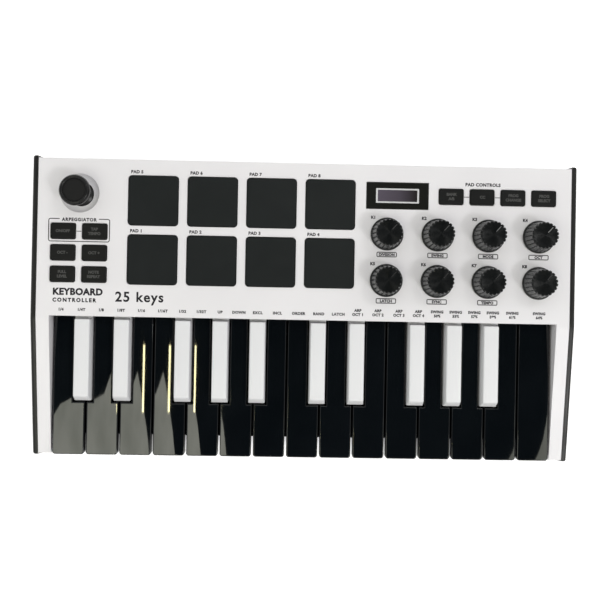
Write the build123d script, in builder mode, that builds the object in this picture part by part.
from build123d import *
import os
from math import cos, radians, sin

# A two-octave desktop keyboard controller with pads, knobs, buttons, a screen and a joystick.
# Millimetres. X to the player's right, Y to the back, Z up.
# Origin: centre of the outline, on the table under the rubber feet.

os.makedirs("parts", exist_ok=True)

# ---------------------------------------------------------------- driving dimensions
# case
overall_width = 318.0
overall_depth = 177.0
panel_top = 30.0
panel_thickness = 2.2
wall = 2.0
foot_height = 2.0
cap_thickness = 3.15
cap_reveal = 1.2  # how far the caps' top edge is drawn in from their widest line
cap_gap = 0.05
shell_back_y = 86.3
arm_front_y = -86.6
arm_front_z = 19.5
arm_width = 7.85
panel_edge_y = -5.3  # the panel's front edge, over the keys
bend_y = -6.9  # where the level sides turn down along the keys
bend_radius = 12.0
lip_bottom = 25.2
parting_z = 6.0
lip_height = 3.5
lip_gap = 0.2
lip_thickness = 1.4
edge_radius = 0.8
cap_corner_radius = 1.9
cap_widest_front_z = 10.0
cap_widest_back_z = 12.0
cap_lift = 0.4  # caps' lower edge above the floor plate's underside
tray_setback = 10.0  # the tray's front wall behind the keys' fronts
tray_wall_top = 8.5
rib_places_y = (22.0, 36.0, 58.0)
rib_thickness = 1.2
rib_height = 2.0
board_rests = [(-100, 14), (-30, 14), (60, 14), (125, 14), (-90, 79), (0, 79), (125, 79)]
board_rest_radius = 2.5

# keys
natural_count = 15
key_pitch = 19.65
key_gap = 1.1
natural_top = 22.0
sharp_top = 28.0
skirt_bottom = 13.5
key_front_y = -86.8
key_tail_y = -1.0
key_wall = 1.4
key_skin = 2.0
key_corner = 1.5
key_edge = 0.6
contact_y = -30.0
contact_rib = 2.4
sharp_base_width = 10.0
sharp_top_width = 8.7
sharp_foot_y = -55.0
sharp_bevel = 3.0
sharp_step_y = -7.0
sharp_tail_top = 23.6
notch_clearance = 1.0
pivot_y = 3.0
pivot_z = 16.0
rod_radius = 1.5
running_clearance = 0.08
hub_width = 6.5
hub_radius = 3.2
hub_neck_inset = 2.0
sharp_skin = 1.0
lug_width = 2.2
lug_depth = 5.6
lug_shift = 0.4
rod_bore_gap = 0.05
rod_end_gap = 2.5
lug_cover = 2.8  # lug above the rod's centre
end_lug_step = 5.2  # from the outermost hubs to the outermost lugs
blade_thickness = 2.4
blade_slack = 0.8
natural_blade_y = -68.0
natural_blade_top = 15.4
sharp_blade_y = -48.0
sharp_blade_top = 16.5
chassis_thickness = 2.0
chassis_front_y = -72.0
chassis_back_y = 7.0
strip_depth = 12.0
strip_thickness = 0.8
contact_dome_radius = 3.4
contact_dome_height = 2.2
contact_dome_taper = 18
sharp_offsets = {"c": -1.6, "d": 1.6, "f": -2.2, "g": 0.0, "a": 2.2}
note_names = "cdefgab"
first_octave = 3

# pads
pad_size = 28.7
pad_corner = 2.0
pad_pitch = 34.3
pad_first = (-89.0, 62.4)
pad_top = 31.3
pad_flange = 31.3
pad_flange_bottom = 26.0
pad_plunger_bottom = 22.7
flange_thickness = 1.4
pad_edge = 0.7
pad_plunger_size = 16.0
pad_sensor_size = 24.0
pad_sensor_thickness = 0.8

# knobs and encoders
knob_pitch_x = 29.76
knob_pitch_y = 27.1
knob_first = (47.2, 45.75)
knob_height = 12.9
knob_lift = 0.6
knob_rim_radius = 9.65
knob_top_radius = 7.45
knob_grip_radius = 8.2
knob_shaft_grip = 9.0
knob_flutes = 20
knob_flute_radius = 0.75
knob_flute_bottom = 4.6  # flutes, skirt and rim: heights above the knob's base
knob_skirt_top = 4.0
knob_rim_height = 1.2
knob_rim_bevel = 0.5
knob_grip_wall = 2.0
knob_hub_wall = 1.4
knob_top_skin = 2.5
shaft_grip_gap = 0.03
shaft_radius = 3.0
shaft_clearance = 0.1
shaft_foot = 1.5  # shaft's lower end above the encoder's underside
encoder_size = 12.0
encoder_height = 6.5
encoder_floor = 1.2
bushing_radius = 3.6
bushing_stand = 0.2

# push buttons
button_length = 14.2
button_depth = 9.0
button_corner = 1.0
button_top = 31.2
button_flange_bottom = 26.4
button_foot = 25.7
button_foot_radius = 2.2
button_flange = 0.9
button_flange_thickness = 1.2
button_edge = 0.5
switch_size = 6.0
switch_height = 3.0
switch_plunger_radius = 1.7
switch_plunger_top = 24.8
button_pitch_x = 18.17
button_pitch_y = 12.46
left_buttons_first = (-140.6, 43.8)
right_buttons_first = (84.6, 68.4)
opening_gap = 0.35

# display
window_centre = (53.1, 68.3)
window_length = 36.4
window_depth = 15.6
window_thickness = 1.5
window_ledge = 1.0
window_bevel = 0.2
screen_gap = 0.3

# joystick
stick_centre = (-131.5, 66.0)
stick_pivot_z = 15.0
dome_radius = 12.5
dome_wall = 1.2
dish_radius = 11.35
dish_hole_radius = 7.3
dish_inner_depth = 3.7  # bowl's surface below the panel's top, at the hole and half way out
dish_middle_depth = 2.0
dish_middle_inset = 1.5
dish_under_depth = 4.4
dish_rim = 1.3
stick_top = 44.0
thumb_radius = 8.75
pin_radius = 1.2
dome_edge_angle = 58.0
stalk_radius = 2.6
stick_radius = 2.4
stick_foot = 2.5
collar_radius = 5.2
collar_bottom = 9.5  # collar and disc: depths below the thumb cap's top
collar_top = 5.6
thumb_flare_depth = 4.2
thumb_edge_depth = 3.2
thumb_dish_radius = 6.2
thumb_floor_depth = 1.3
thumb_socket_depth = 2.37
stick_base_inner = 14.2
stick_base_wall = 1.5
stick_base_floor = 1.6
stick_base_bottom = 7.0
stick_post_x = 9.2
stick_post_size = (2.0, 5.0)
stick_post_top = 2.0  # posts above the pivot
ring_outer = 7.5
ring_inner = 5.0
ring_half_height = 1.5
ring_pin_length = 2.9
ring_pin_root = 0.4

# boards
board_bottom = 19.0
board_thickness = 1.6
solder_gap = 0.1
board_front_y = 9.5
board_back_y = 82.0
board_half_width = 144.5
key_board_front_y = -42.0
key_board_back_y = -14.0

# rear sockets
data_socket_x = 62.0
jack_x = 100.0
socket_z = 13.4
socket_opening = (12.6, 11.4)
socket_shell = (12.0, 16.0)
socket_centre_inset = 8.3
socket_mouth = (8.5, 7.8)
socket_depth = 12.0
tongue_size = (5.6, 3.2)
tongue_length = 7.0
tongue_root = 13.0
jack_opening_radius = 5.0
jack_body = (14.0, 17.0)
jack_body_inset = 8.6
jack_bushing_radius = 4.7
jack_bushing_length = 4.0
jack_stand = 0.9
jack_bore_radius = 3.25
jack_bore_length = 16.0

# fastenings: case screws at the four corners of the control box and two inside it
screw_places = [
    (-148.5, 79.5), (148.5, 79.5), (-150.3, 9.5), (150.3, 9.5), (-110.0, 45.2), (35.4, 45.2),
]
screw_radius = 1.5
screw_head_radius = 2.8
screw_head_thickness = 1.1
screw_recess = 1.2
screw_length = 9.0
screw_slack = 0.2
screw_head_slack = 0.3
post_radius = 2.8
post_slack = 0.3
post_hole_depth = 14.0
foot_places = [(-138.0, 72.0), (138.0, 72.0), (-138.0, -64.0), (138.0, -64.0)]
foot_radius = 7.0
foot_edge = 0.5
through = 1.0  # how far a cutter runs past the face that it opens

# ---------------------------------------------------------------- derived places
housing_half = overall_width / 2 - cap_thickness
bay_half = housing_half - arm_width
inner_half = housing_half - wall
panel_under = panel_top - panel_thickness
floor_bottom = foot_height
floor_top = foot_height + wall
shell_front_wall_y = arm_front_y + wall
board_top = board_bottom + board_thickness
part_base = board_top + solder_gap
well_back_y = shell_back_y - wall
key_width = key_pitch - key_gap
screw_pilot_radius = screw_radius - 0.1
cap_bottom = floor_bottom + cap_lift
tray_front_y = key_front_y + tray_setback
plate_bottom = floor_top + solder_gap
plate_top = plate_bottom + chassis_thickness
strip_bottom = plate_top + 2 * solder_gap + board_thickness
encoder_top = part_base + encoder_height
switch_top = part_base + switch_height
pin_bore = pin_radius + running_clearance
dome_inner = dome_radius - dome_wall
dome_edge = radians(dome_edge_angle)
stem_height = stick_top - stick_pivot_z


def slope_z(y):
    """Height of the arms' sloping top at depth y."""
    return panel_top + (y - bend_y) * (panel_top - arm_front_z) / (bend_y - arm_front_y)


def grid_places(first, pitch_x, pitch_y, columns, rows):
    """Centres of a grid that starts at its back left corner, row by row."""
    return [
        (first[0] + column * pitch_x, first[1] - row * pitch_y)
        for row in range(rows)
        for column in range(columns)
    ]


knob_places = grid_places(knob_first, knob_pitch_x, knob_pitch_y, 4, 2)
back_pads = grid_places(pad_first, pad_pitch, pad_pitch, 4, 2)
pad_places = back_pads[4:] + back_pads[:4]  # pads count from the front row
left_buttons = grid_places(left_buttons_first, button_pitch_x, button_pitch_y, 2, 3)
right_buttons = grid_places(right_buttons_first, button_pitch_x, 0, 4, 1)
button_places = left_buttons + right_buttons


def gap_line(index):
    """X of the line between natural number index and the next one."""
    return (index + 1 - natural_count / 2) * key_pitch


# the sharps stand at these places: note letter, octave, x
sharps = []
for index in range(natural_count - 1):
    letter = note_names[index % 7]
    if letter in sharp_offsets:
        sharps.append((letter, first_octave + index // 7, gap_line(index) + sharp_offsets[letter]))


def tail_edges(index):
    """Left and right x of a natural's tail, between the notches for the sharps beside it."""
    half_notch = sharp_base_width / 2 + notch_clearance
    left = gap_line(index - 1) + key_gap / 2
    right = gap_line(index) - key_gap / 2
    for _, _, x in sharps:
        if left < x + half_notch < right:
            left = x + half_notch
        if left < x - half_notch < right:
            right = x - half_notch
    return left, right


natural_hubs = [sum(tail_edges(index)) / 2 for index in range(natural_count)]
hub_places = sorted(natural_hubs + [x for _, _, x in sharps])


# ---------------------------------------------------------------- upper housing
with BuildPart() as top_housing:
    # solid block with the side profile: level panel, then the arms' slope
    with BuildSketch(Plane.YZ.offset(-housing_half)) as side_profile:
        with BuildLine():
            Polyline(
                (shell_back_y, parting_z),
                (shell_back_y, panel_top),
                (bend_y, panel_top),
                (arm_front_y, arm_front_z),
                (arm_front_y, parting_z),
                close=True,
            )
        make_face()
        fillet(side_profile.vertices().sort_by_distance((bend_y, panel_top))[0], bend_radius)
    extrude(amount=2 * housing_half)
    # round the top edges along both sides and the back
    fillet(
        [
            edge
            for edge in top_housing.edges()
            if edge.center().Z > arm_front_z + 0.5
            and (abs(edge.center().X) > housing_half - 1 or edge.center().Y > shell_back_y - 1)
            and not (edge.center().Y > shell_back_y - 1 and edge.bounding_box().size.Z > 1)
        ],
        edge_radius,
    )
    # bay for the keys, open to the front
    with BuildSketch(Plane.XY):
        with Locations((0, (arm_front_y + panel_edge_y) / 2 - wall)):
            Rectangle(2 * bay_half, panel_edge_y - arm_front_y + 2 * wall)
    extrude(amount=panel_top + 1, mode=Mode.SUBTRACT)
    cross_edges = top_housing.edges().filter_by(Axis.X)
    front_edges = cross_edges.filter_by_position(Axis.Y, panel_edge_y - 0.1, panel_edge_y + 0.1)
    fillet(front_edges.sort_by(Axis.Z)[-1], edge_radius)
    # room under the panel, and under its front lip
    with BuildSketch(Plane.XY):
        with Locations((0, (panel_edge_y + wall + well_back_y) / 2)):
            Rectangle(2 * inner_half, well_back_y - panel_edge_y - wall)
    extrude(amount=panel_under, mode=Mode.SUBTRACT)
    with BuildSketch(Plane.XY):
        with Locations((0, panel_edge_y + wall / 2)):
            Rectangle(2 * bay_half, wall + 0.2)
    extrude(amount=lip_bottom, mode=Mode.SUBTRACT)
    # hollow inside each arm
    for side in (-1, 1):
        with BuildSketch(Plane.YZ.offset(side * (bay_half + inner_half + wall) / 2)):
            with BuildLine():
                Polyline(
                    (shell_front_wall_y, parting_z - 1),
                    (shell_front_wall_y, slope_z(shell_front_wall_y) - panel_thickness),
                    (panel_edge_y, panel_under),
                    (panel_edge_y + 2 * wall, panel_under),
                    (panel_edge_y + 2 * wall, parting_z - 1),
                    close=True,
                )
            make_face()
        extrude(amount=(inner_half - bay_half - wall) / 2, both=True, mode=Mode.SUBTRACT)
    # screw posts
    with BuildSketch(Plane.XY.offset(floor_top + lip_gap)):
        with Locations(*screw_places):
            Circle(post_radius)
    extrude(amount=panel_under - floor_top)
    with BuildSketch(Plane.XY.offset(floor_top)):
        with Locations(*screw_places):
            Circle(screw_pilot_radius)
    extrude(amount=post_hole_depth, mode=Mode.SUBTRACT)
    # openings for pads, buttons, knob shafts and the display
    with BuildSketch(Plane.XY.offset(panel_under - through)):
        with Locations(*pad_places):
            RectangleRounded(
                pad_size + 2 * opening_gap, pad_size + 2 * opening_gap, pad_corner + opening_gap
            )
        with Locations(*button_places):
            RectangleRounded(
                button_length + 2 * opening_gap,
                button_depth + 2 * opening_gap,
                button_corner + opening_gap,
            )
        with Locations(*knob_places):
            Circle(bushing_radius + opening_gap)
        with Locations(window_centre):
            Rectangle(window_length - 4 * window_ledge, window_depth - 2 * window_ledge)
    extrude(amount=panel_thickness + 2 * through, mode=Mode.SUBTRACT)
    with BuildSketch(Plane.XY.offset(panel_top - window_thickness)):
        with Locations(window_centre):
            Rectangle(window_length + opening_gap, window_depth + opening_gap)
    extrude(amount=window_thickness + through, mode=Mode.SUBTRACT)
    # dish round the joystick: a ring of concave section let into the panel
    with BuildSketch(Plane.XY.offset(panel_under - through)):
        with Locations(stick_centre):
            Circle(dish_radius + dish_rim / 2)
    extrude(amount=panel_thickness + 2 * through, mode=Mode.SUBTRACT)
    dish_plane = Plane((stick_centre[0], stick_centre[1], 0), x_dir=(1, 0, 0), z_dir=(0, -1, 0))
    with BuildSketch(dish_plane):
        with BuildLine():
            ThreePointArc(
                (dish_hole_radius, panel_top - dish_inner_depth),
                (dish_radius - dish_middle_inset, panel_top - dish_middle_depth),
                (dish_radius, panel_top),
            )
            Polyline(
                (dish_radius, panel_top),
                (dish_radius + dish_rim, panel_top),
                (dish_radius + dish_rim, panel_under),
                (dish_radius, panel_under - dish_rim / 2),
                (dish_hole_radius, panel_top - dish_under_depth),
                (dish_hole_radius, panel_top - dish_inner_depth),
            )
        make_face()
    revolve(axis=Axis((stick_centre[0], stick_centre[1], 0), (0, 0, 1)))
    # rear wall: square socket opening and the jack's hole
    rear_plane = Plane((0, shell_back_y + through, 0), x_dir=(-1, 0, 0), z_dir=(0, 1, 0))
    with BuildSketch(rear_plane):
        with Locations((-data_socket_x, socket_z)):
            Rectangle(*socket_opening)
        with Locations((-jack_x, socket_z)):
            Circle(jack_opening_radius)
    extrude(amount=-wall - 2 * through, mode=Mode.SUBTRACT)
top_housing.part.label = "top_housing"
export_step(top_housing.part, "parts/top_housing.step")

# ---------------------------------------------------------------- lower housing
with BuildPart() as bottom_housing:
    with BuildSketch(Plane.XY.offset(floor_bottom)):
        with Locations((0, (tray_front_y + shell_back_y) / 2)):
            Rectangle(2 * housing_half, shell_back_y - tray_front_y)
        # tongues that close the arms from below
        for side in (-1, 1):
            with Locations((side * (housing_half - arm_width / 2), (arm_front_y + tray_front_y) / 2)):
                Rectangle(arm_width, tray_front_y - arm_front_y + 0.2)
    extrude(amount=parting_z - floor_bottom)
    with BuildSketch(Plane.XY.offset(floor_top)):
        with Locations((0, (tray_front_y + shell_back_y) / 2)):
            Rectangle(2 * inner_half, shell_back_y - tray_front_y - 2 * wall)
    extrude(amount=parting_z, mode=Mode.SUBTRACT)
    # low front wall under the keys
    with BuildSketch(Plane.XY.offset(floor_top)):
        with Locations((0, tray_front_y + wall / 2)):
            Rectangle(2 * bay_half - 2, wall)
    extrude(amount=tray_wall_top - floor_top)
    # lip that locates the upper housing
    lip_depth = well_back_y - panel_edge_y - 2 * wall - 2 * lip_gap
    lip_run_in = 10.0
    with BuildSketch(Plane.XY.offset(floor_top)):
        with Locations((0, (panel_edge_y + well_back_y) / 2 + 2)):
            Rectangle(2 * (inner_half - lip_gap), lip_depth)
            Rectangle(
                2 * (inner_half - lip_gap - lip_thickness), lip_depth + lip_gap / 2, mode=Mode.SUBTRACT
            )
        with Locations((0, well_back_y - through)):
            Rectangle(2 * inner_half - lip_run_in, lip_thickness)
    extrude(amount=lip_height)
    # ribs across the floor
    with BuildSketch(Plane.XY.offset(floor_top)):
        for y in rib_places_y:
            with Locations((0, y)):
                Rectangle(2 * (inner_half - lip_thickness) - lip_gap, rib_thickness)
    extrude(amount=rib_height)
    # rests for the control board
    with BuildSketch(Plane.XY.offset(floor_top)):
        with Locations(*board_rests):
            Circle(board_rest_radius)
    extrude(amount=board_bottom - floor_top - solder_gap)
    # room round the upper housing's screw posts, and the screw holes from below
    with BuildSketch(Plane.XY.offset(floor_top)):
        with Locations(*screw_places):
            Circle(post_radius + post_slack)
    extrude(amount=parting_z, mode=Mode.SUBTRACT)
    with BuildSketch(Plane.XY.offset(floor_bottom)):
        with Locations(*screw_places):
            Circle(screw_radius + screw_slack)
    extrude(amount=wall, mode=Mode.SUBTRACT)
    with BuildSketch(Plane.XY.offset(floor_bottom)):
        with Locations(*screw_places):
            Circle(screw_head_radius + screw_head_slack)
    extrude(amount=screw_recess, mode=Mode.SUBTRACT)
bottom_housing.part.label = "bottom_housing"
export_step(bottom_housing.part, "parts/bottom_housing.step")

# ---------------------------------------------------------------- end caps
with BuildPart() as end_caps:
    for side in (-1, 1):
        with BuildSketch(Plane.YZ.offset(side * (housing_half + cap_gap))) as cap_profile:
            with BuildLine():
                Polyline(
                    (overall_depth / 2 - cap_reveal, panel_top),
                    (bend_y, panel_top),
                    (-overall_depth / 2 + cap_reveal, slope_z(-overall_depth / 2 + cap_reveal)),
                    (-overall_depth / 2, cap_widest_front_z),
                    (-overall_depth / 2 + cap_reveal, cap_bottom),
                    (overall_depth / 2 - cap_reveal, cap_bottom),
                    (overall_depth / 2, cap_widest_back_z),
                    close=True,
                )
            make_face()
            fillet(cap_profile.vertices().sort_by_distance((bend_y, panel_top))[0], bend_radius)
        extrude(amount=side * (cap_thickness - cap_gap))
    cap_corners = [
        edge
        for edge in end_caps.edges()
        if abs(edge.center().X) > overall_width / 2 - 0.1 and edge.center().Z > cap_bottom + 0.5
    ]
    fillet(cap_corners, cap_corner_radius)
end_caps.part.label = "end_caps"
export_step(end_caps.part, "parts/end_caps.step")

# ---------------------------------------------------------------- key chassis, rod and contact strip
with BuildPart() as key_chassis:
    with BuildSketch(Plane.XY.offset(plate_bottom)):
        with Locations((0, (chassis_front_y + chassis_back_y) / 2)):
            Rectangle(2 * (bay_half - wall), chassis_back_y - chassis_front_y)
    extrude(amount=chassis_thickness)
    # guide blades: wide ones inside the naturals' heads, narrow ones inside the sharps
    natural_centres = [gap_line(index) - key_pitch / 2 for index in range(natural_count)]
    with BuildSketch(Plane.XY.offset(plate_top)):
        with Locations(*[(x, natural_blade_y) for x in natural_centres]):
            Rectangle(key_width - 2 * key_wall - blade_slack, blade_thickness)
    extrude(amount=natural_blade_top - plate_top)
    with BuildSketch(Plane.XY.offset(plate_top)):
        with Locations(*[(x, sharp_blade_y) for _, _, x in sharps]):
            Rectangle(sharp_base_width - 2 * key_wall - blade_slack, blade_thickness)
    extrude(amount=sharp_blade_top - plate_top)
    # lugs between the key hubs, bored for the rod
    lug_places = [(a + b) / 2 for a, b in zip(hub_places, hub_places[1:])]
    lug_places = [hub_places[0] - end_lug_step] + lug_places + [hub_places[-1] + end_lug_step]
    with BuildSketch(Plane.XY.offset(plate_top)):
        with Locations(*[(x, pivot_y + lug_shift) for x in lug_places]):
            Rectangle(lug_width, lug_depth)
    extrude(amount=pivot_z + lug_cover - plate_top)
    with BuildSketch(Plane.YZ.offset(-bay_half)):
        with Locations((pivot_y, pivot_z)):
            Circle(rod_radius + rod_bore_gap)
    extrude(amount=2 * bay_half, mode=Mode.SUBTRACT)
    # the steel rod
    with BuildSketch(Plane.YZ.offset(-bay_half + rod_end_gap)):
        with Locations((pivot_y, pivot_z)):
            Circle(rod_radius)
    extrude(amount=2 * (bay_half - rod_end_gap))
    # rubber contact strip with one dome under each key, lying on the key board
    with BuildSketch(Plane.XY.offset(strip_bottom)):
        with Locations((0, contact_y)):
            Rectangle(2 * bay_half - 4 * wall, strip_depth)
    extrude(amount=strip_thickness)
    with BuildSketch(Plane.XY.offset(strip_bottom + strip_thickness)):
        with Locations(*[(x, contact_y) for x in hub_places]):
            Circle(contact_dome_radius)
    extrude(amount=contact_dome_height, taper=contact_dome_taper)
key_chassis.part.label = "key_chassis"
export_step(key_chassis.part, "parts/key_chassis.step")


# ---------------------------------------------------------------- keys
def make_hub(x, neck_top):
    """Round hub on the pivot rod, with the neck that joins it to the key's tail."""
    with BuildPart() as hub:
        with BuildSketch(Plane.YZ.offset(x)):
            with Locations((pivot_y, pivot_z)):
                Circle(hub_radius)
            with BuildLine():
                Polyline(
                    (key_tail_y - key_wall, neck_top),
                    (key_tail_y - key_wall, pivot_z - hub_radius),
                    (pivot_y, pivot_z - hub_radius),
                    (pivot_y, pivot_z + hub_radius),
                    (pivot_y - hub_neck_inset, neck_top),
                    close=True,
                )
            make_face()
        extrude(amount=hub_width / 2, both=True)
        with BuildSketch(Plane.YZ.offset(x)):
            with Locations((pivot_y, pivot_z)):
                Circle(rod_radius + running_clearance)
        extrude(amount=hub_width, both=True, mode=Mode.SUBTRACT)
    return hub.part


def make_natural(index):
    """A natural: hollow shell with a notched plan, a contact rib, and a hub on the pivot rod."""
    left = gap_line(index - 1) + key_gap / 2
    right = gap_line(index) - key_gap / 2
    tail_left, tail_right = tail_edges(index)
    notch_y = sharp_foot_y - notch_clearance
    corners = [(left, key_front_y), (right, key_front_y)]
    if tail_right < right:
        corners += [(right, notch_y), (tail_right, notch_y)]
    corners += [(tail_right, key_tail_y), (tail_left, key_tail_y)]
    if tail_left > left:
        corners += [(tail_left, notch_y), (left, notch_y)]
    with BuildPart() as natural:
        with BuildSketch(Plane.XY.offset(skirt_bottom)) as plan:
            with BuildLine():
                Polyline(*corners, close=True)
            make_face()
            fillet(plan.vertices().group_by(Axis.Y)[0], key_corner)
        extrude(amount=natural_top - skirt_bottom)
        fillet(natural.faces().sort_by(Axis.Z)[-1].edges(), key_edge)
        with BuildSketch(Plane.XY.offset(skirt_bottom)):
            with BuildLine():
                Polyline(*corners, close=True)
            make_face()
            offset(amount=-key_wall, kind=Kind.INTERSECTION, mode=Mode.REPLACE)
        extrude(amount=natural_top - skirt_bottom - key_skin, mode=Mode.SUBTRACT)
        with BuildSketch(Plane.XY.offset(skirt_bottom)):
            with Locations(((tail_left + tail_right) / 2, contact_y)):
                Rectangle(tail_right - tail_left - key_wall, contact_rib)
        extrude(amount=natural_top - skirt_bottom - key_skin / 2)
        add(make_hub(natural_hubs[index], natural_top - key_skin))
    return natural


def make_sharp(x):
    """A sharp: hollow body whose raised top has drafted sides and a bevelled front."""
    with BuildPart() as sharp:
        with BuildSketch(Plane.XY.offset(skirt_bottom)):
            with Locations((x, (sharp_foot_y + key_tail_y) / 2)):
                Rectangle(sharp_base_width, key_tail_y - sharp_foot_y)
        extrude(amount=sharp_tail_top - skirt_bottom)
        with BuildSketch(Plane.XY.offset(natural_top)):
            with Locations((x, sharp_foot_y)):
                Rectangle(2 * sharp_base_width, 2 * sharp_bevel)
        extrude(amount=sharp_tail_top, mode=Mode.SUBTRACT)
        with BuildSketch(Plane.XY.offset(natural_top)):
            with Locations((x, (sharp_foot_y + sharp_step_y) / 2)):
                Rectangle(sharp_base_width, sharp_step_y - sharp_foot_y)
        with BuildSketch(Plane.XY.offset(sharp_top)):
            with Locations((x, (sharp_foot_y + sharp_bevel + sharp_step_y) / 2)):
                Rectangle(sharp_top_width, sharp_step_y - sharp_foot_y - sharp_bevel)
        loft(ruled=True)
        fillet(sharp.faces().sort_by(Axis.Z)[-1].edges(), key_edge)
        with BuildSketch(Plane.XY.offset(skirt_bottom)):
            with Locations((x, (sharp_foot_y + key_tail_y) / 2)):
                Rectangle(sharp_base_width - 2 * key_wall, key_tail_y - sharp_foot_y - 2 * key_wall)
        extrude(amount=natural_top - skirt_bottom - sharp_skin, mode=Mode.SUBTRACT)
        with BuildSketch(Plane.XY.offset(skirt_bottom)):
            with Locations((x, contact_y)):
                Rectangle(sharp_base_width - key_wall, contact_rib)
        extrude(amount=natural_top - skirt_bottom)
        add(make_hub(x, natural_top - key_skin))
    return sharp


for index in range(natural_count):
    letter = note_names[index % 7]
    label = f"key_{letter}{first_octave + index // 7}"
    key = make_natural(index)
    key.part.label = label
    export_step(key.part, f"parts/{label}.step")

for letter, octave, x in sharps:
    label = f"key_{letter}_sharp{octave}"
    key = make_sharp(x)
    key.part.label = label
    export_step(key.part, f"parts/{label}.step")


# ---------------------------------------------------------------- pads
def make_pad(x, y):
    """Rubber pad: square top, a flange under the panel, and a plunger over its sensor."""
    with BuildPart() as pad:
        with BuildSketch(Plane((x, y, pad_flange_bottom))):
            RectangleRounded(pad_flange, pad_flange, pad_corner)
        extrude(amount=flange_thickness)
        with BuildSketch(Plane((x, y, pad_flange_bottom))):
            RectangleRounded(pad_size, pad_size, pad_corner)
        extrude(amount=pad_top - pad_flange_bottom)
        fillet(pad.faces().sort_by(Axis.Z)[-1].edges(), pad_edge)
        with BuildSketch(Plane((x, y, pad_flange_bottom))):
            RectangleRounded(pad_plunger_size, pad_plunger_size, pad_corner)
        extrude(amount=pad_plunger_bottom - pad_flange_bottom)
    return pad


for number, (x, y) in enumerate(pad_places, start=1):
    pad = make_pad(x, y)
    pad.part.label = f"pad_{number}"
    export_step(pad.part, f"parts/pad_{number}.step")


# ---------------------------------------------------------------- knobs
def make_knob(x, y):
    """Knob with a rim, a coned skirt and a fluted grip, and the encoder shaft inside it."""
    base = panel_top + knob_lift
    top = panel_top + knob_height
    upright = Plane((x, y, 0), x_dir=(1, 0, 0), z_dir=(0, -1, 0))
    spin = Axis((x, y, 0), (0, 0, 1))
    with BuildPart() as knob:
        with BuildSketch(upright):
            with BuildLine():
                Polyline(
                    (0, base),
                    (knob_rim_radius, base),
                    (knob_rim_radius, base + knob_rim_height),
                    (knob_rim_radius - knob_rim_bevel, base + knob_rim_height + knob_rim_bevel),
                    (knob_grip_radius, base + knob_skirt_top),
                    (knob_top_radius, top - knob_rim_bevel),
                    (knob_top_radius - knob_rim_bevel, top),
                    (0, top),
                    close=True,
                )
            make_face()
        revolve(axis=spin)
        with BuildSketch(Plane((x, y, base + knob_flute_bottom))):
            with PolarLocations(knob_grip_radius + knob_flute_radius / 3, knob_flutes):
                Circle(knob_flute_radius)
        extrude(amount=knob_height, mode=Mode.SUBTRACT)
        # hollow between the grip and the hub
        with BuildSketch(Plane((x, y, base))):
            Circle(knob_grip_radius - knob_grip_wall)
            Circle(shaft_radius + knob_hub_wall, mode=Mode.SUBTRACT)
        extrude(amount=knob_height - knob_lift - knob_top_skin, mode=Mode.SUBTRACT)
        with BuildSketch(Plane((x, y, base))):
            Circle(shaft_radius + shaft_grip_gap)
        extrude(amount=knob_shaft_grip, mode=Mode.SUBTRACT)
        with BuildSketch(Plane((x, y, part_base + shaft_foot))):
            Circle(shaft_radius)
        extrude(amount=base + knob_shaft_grip - part_base - shaft_foot - shaft_clearance)
    return knob


for number, (x, y) in enumerate(knob_places, start=1):
    knob = make_knob(x, y)
    knob.part.label = f"knob_{number}"
    export_step(knob.part, f"parts/knob_{number}.step")


# ---------------------------------------------------------------- push buttons
def make_button(x, y):
    """Button cap with a flange under the panel and a foot over its switch."""
    with BuildPart() as button:
        with BuildSketch(Plane((x, y, button_flange_bottom))):
            Rectangle(button_length + 2 * button_flange, button_depth + 2 * button_flange)
        extrude(amount=button_flange_thickness)
        with BuildSketch(Plane((x, y, button_flange_bottom))):
            RectangleRounded(button_length, button_depth, button_corner)
        extrude(amount=button_top - button_flange_bottom)
        fillet(button.faces().sort_by(Axis.Z)[-1].edges(), button_edge)
        with BuildSketch(Plane((x, y, button_flange_bottom))):
            Circle(button_foot_radius)
        extrude(amount=button_foot - button_flange_bottom)
    return button


button_names = [
    "arpeggiator", "tap_tempo", "octave_down", "octave_up", "full_level", "note_repeat",
    "bank_a_b", "control_change", "program_change", "program_select",
]
for name, (x, y) in zip(button_names, button_places):
    button = make_button(x, y)
    button.part.label = f"button_{name}"
    export_step(button.part, f"parts/button_{name}.step")

# ---------------------------------------------------------------- display window
with BuildPart() as display_window:
    with BuildSketch(Plane.XY.offset(panel_top - window_thickness)):
        with Locations(window_centre):
            Rectangle(window_length, window_depth)
    extrude(amount=window_thickness)
    chamfer(display_window.faces().sort_by(Axis.Z)[-1].edges(), window_bevel)
display_window.part.label = "display_window"
export_step(display_window.part, "parts/display_window.step")

# ---------------------------------------------------------------- joystick
stick_axis = Axis((stick_centre[0], stick_centre[1], 0), (0, 0, 1))
stick_upright = Plane(
    (stick_centre[0], stick_centre[1], stick_pivot_z), x_dir=(1, 0, 0), z_dir=(0, -1, 0)
)
stick_cross = Plane(
    (stick_centre[0], stick_centre[1], stick_pivot_z), x_dir=(0, 1, 0), z_dir=(1, 0, 0)
)

with BuildPart() as joystick_gimbal:
    with BuildSketch(Plane((stick_centre[0], stick_centre[1], stick_pivot_z - ring_half_height))):
        Circle(ring_outer)
        Circle(ring_inner, mode=Mode.SUBTRACT)
    extrude(amount=2 * ring_half_height)
    # pins along X turn in the base's posts
    for side in (-1, 1):
        with BuildSketch(stick_cross.offset(side * (ring_outer - ring_pin_root))):
            Circle(pin_radius)
        extrude(amount=side * ring_pin_length)
    # bores along Y take the stick's cross pin
    with BuildSketch(stick_upright):
        Circle(pin_bore)
    extrude(amount=ring_outer + through, both=True, mode=Mode.SUBTRACT)
joystick_gimbal.part.label = "joystick_gimbal"
export_step(joystick_gimbal.part, "parts/joystick_gimbal.step")

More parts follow.
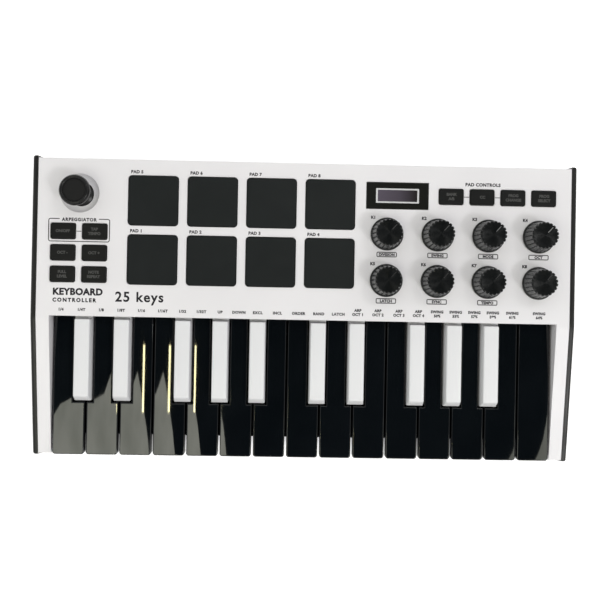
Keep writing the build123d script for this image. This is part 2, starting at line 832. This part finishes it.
with BuildPart() as joystick:
    # domed skirt: a ball's cap centred on the pivot
    with BuildSketch(stick_upright):
        with BuildLine():
            ThreePointArc(
                (0, dome_radius),
                (dome_radius * sin(dome_edge / 2), dome_radius * cos(dome_edge / 2)),
                (dome_radius * sin(dome_edge), dome_radius * cos(dome_edge)),
            )
            Line(
                (dome_radius * sin(dome_edge), dome_radius * cos(dome_edge)),
                (dome_inner * sin(dome_edge), dome_inner * cos(dome_edge)),
            )
            ThreePointArc(
                (dome_inner * sin(dome_edge), dome_inner * cos(dome_edge)),
                (dome_inner * sin(dome_edge / 2), dome_inner * cos(dome_edge / 2)),
                (0, dome_inner),
            )
            Line((0, dome_inner), (0, dome_radius))
        make_face()
    revolve(axis=stick_axis)
    # stalk above the dome, and the stick below it with its cross pin
    with BuildSketch(Plane((stick_centre[0], stick_centre[1], stick_pivot_z - stick_foot))):
        Circle(stick_radius)
    extrude(amount=dome_radius + stick_foot)
    with BuildSketch(Plane((stick_centre[0], stick_centre[1], stick_pivot_z + dome_inner))):
        Circle(stalk_radius)
    extrude(amount=stem_height - dome_inner - thumb_socket_depth - shaft_grip_gap)
    with BuildSketch(stick_upright):
        Circle(pin_radius)
    extrude(amount=ring_outer - ring_pin_root / 2, both=True)
    # thumb cap: a collar under a dished disc, pushed on to the stalk
    with BuildSketch(stick_upright):
        with BuildLine():
            Polyline(
                (stalk_radius + shaft_grip_gap, stem_height - collar_bottom),
                (collar_radius, stem_height - collar_bottom),
                (collar_radius, stem_height - collar_top),
                (thumb_radius - 0.9, stem_height - thumb_flare_depth),
                (thumb_radius, stem_height - thumb_edge_depth),
                (thumb_radius, stem_height - 1.0),
                (thumb_radius - 0.5, stem_height - 0.2),
                (thumb_radius - 1.1, stem_height),
                (thumb_dish_radius + 0.3, stem_height),
                (thumb_dish_radius - 0.4, stem_height - 1.0),
                (0, stem_height - thumb_floor_depth),
                (0, stem_height - thumb_socket_depth),
                (stalk_radius + shaft_grip_gap, stem_height - thumb_socket_depth),
                close=True,
            )
        make_face()
    revolve(axis=stick_axis)
joystick.part.label = "joystick"
export_step(joystick.part, "parts/joystick.step")

# ---------------------------------------------------------------- circuit boards and their parts
with BuildPart() as circuit_boards:
    # control board, open round the joystick and the screw posts
    with BuildSketch(Plane.XY.offset(board_bottom)):
        with Locations((0, (board_front_y + board_back_y) / 2)):
            Rectangle(2 * board_half_width, board_back_y - board_front_y)
        with Locations(stick_centre):
            Circle(stick_base_inner - 0.2, mode=Mode.SUBTRACT)
        with Locations(*screw_places):
            Circle(post_radius + 0.8, mode=Mode.SUBTRACT)
    extrude(amount=board_thickness)
    # encoders: square bodies with round bushings that pass through the panel
    with BuildSketch(Plane.XY.offset(part_base)):
        with Locations(*knob_places):
            Rectangle(encoder_size, encoder_size)
    extrude(amount=encoder_height)
    with BuildSketch(Plane.XY.offset(encoder_top)):
        with Locations(*knob_places):
            Circle(bushing_radius)
    extrude(amount=panel_top + bushing_stand - encoder_top)
    with BuildSketch(Plane.XY.offset(part_base + encoder_floor)):
        with Locations(*knob_places):
            Circle(shaft_radius + shaft_clearance)
    extrude(amount=panel_top, mode=Mode.SUBTRACT)
    # push switches
    with BuildSketch(Plane.XY.offset(part_base)):
        with Locations(*button_places):
            Rectangle(switch_size, switch_size)
    extrude(amount=switch_height)
    with BuildSketch(Plane.XY.offset(switch_top)):
        with Locations(*button_places):
            Circle(switch_plunger_radius)
    extrude(amount=switch_plunger_top - switch_top)
    # pad sensors
    with BuildSketch(Plane.XY.offset(part_base)):
        with Locations(*pad_places):
            Rectangle(pad_sensor_size, pad_sensor_size)
    extrude(amount=pad_sensor_thickness)
    # screen module under the display window
    with BuildSketch(Plane.XY.offset(part_base)):
        with Locations(window_centre):
            Rectangle(window_length - 6 * window_ledge, window_depth - 4 * window_ledge)
    extrude(amount=panel_top - window_thickness - screen_gap - part_base)
    # joystick base: a cup under the board with two posts bored for the gimbal's pins
    with BuildSketch(Plane((stick_centre[0], stick_centre[1], stick_base_bottom))):
        Circle(stick_base_inner + stick_base_wall)
    extrude(amount=board_bottom - solder_gap - stick_base_bottom)
    base_floor_z = stick_base_bottom + stick_base_floor
    with BuildSketch(Plane((stick_centre[0], stick_centre[1], base_floor_z))):
        Circle(stick_base_inner)
    extrude(amount=board_bottom - stick_base_bottom, mode=Mode.SUBTRACT)
    with BuildSketch(Plane((stick_centre[0], stick_centre[1], base_floor_z - through / 2))):
        with Locations((-stick_post_x, 0), (stick_post_x, 0)):
            Rectangle(*stick_post_size)
    extrude(amount=stick_pivot_z + stick_post_top - base_floor_z + through / 2)
    with BuildSketch(stick_cross):
        Circle(pin_bore)
    extrude(amount=stick_post_x + stick_post_size[0], both=True, mode=Mode.SUBTRACT)
    # square data and power socket, hung under the board: shell, mouth and tongue
    with BuildSketch(Plane((data_socket_x, shell_back_y - socket_centre_inset, socket_z))):
        Rectangle(*socket_shell)
    extrude(amount=(board_bottom - solder_gap - socket_z), both=True)
    socket_face = Plane((data_socket_x, shell_back_y, socket_z), x_dir=(-1, 0, 0), z_dir=(0, 1, 0))
    with BuildSketch(socket_face):
        Rectangle(*socket_mouth)
    extrude(amount=-socket_depth, mode=Mode.SUBTRACT)
    with BuildSketch(socket_face.offset(-tongue_root)):
        Rectangle(*tongue_size)
    extrude(amount=tongue_length)
    # pedal jack: body with a bushing through the rear wall, bored from the back
    with BuildSketch(Plane((jack_x, well_back_y - jack_body_inset, socket_z))):
        Rectangle(*jack_body)
    extrude(amount=(board_bottom - solder_gap - socket_z), both=True)
    jack_face = Plane((jack_x, shell_back_y + jack_stand, socket_z), x_dir=(-1, 0, 0), z_dir=(0, 1, 0))
    with BuildSketch(jack_face):
        Circle(jack_bushing_radius)
    extrude(amount=-jack_bushing_length)
    with BuildSketch(jack_face):
        Circle(jack_bore_radius)
    extrude(amount=-jack_bore_length, mode=Mode.SUBTRACT)
    # key contact board, lying on the key chassis
    with BuildSketch(Plane.XY.offset(plate_top + solder_gap)):
        with Locations((0, (key_board_front_y + key_board_back_y) / 2)):
            Rectangle(2 * bay_half - 3 * wall, key_board_back_y - key_board_front_y)
    extrude(amount=board_thickness)
circuit_boards.part.label = "circuit_boards"
export_step(circuit_boards.part, "parts/circuit_boards.step")

# ---------------------------------------------------------------- rubber feet and case screws
with BuildPart() as feet_and_screws:
    with BuildSketch(Plane.XY):
        with Locations(*foot_places):
            Circle(foot_radius)
    extrude(amount=foot_height)
    fillet(feet_and_screws.edges().group_by(Axis.Z)[0], foot_edge)
    with BuildSketch(Plane.XY.offset(floor_bottom + screw_recess - screw_head_thickness)):
        with Locations(*screw_places):
            Circle(screw_head_radius)
    extrude(amount=screw_head_thickness)
    with BuildSketch(Plane.XY.offset(floor_bottom + screw_recess)):
        with Locations(*screw_places):
            Circle(screw_pilot_radius)
    extrude(amount=screw_length)
feet_and_screws.part.label = "feet_and_screws"
export_step(feet_and_screws.part, "parts/feet_and_screws.step")
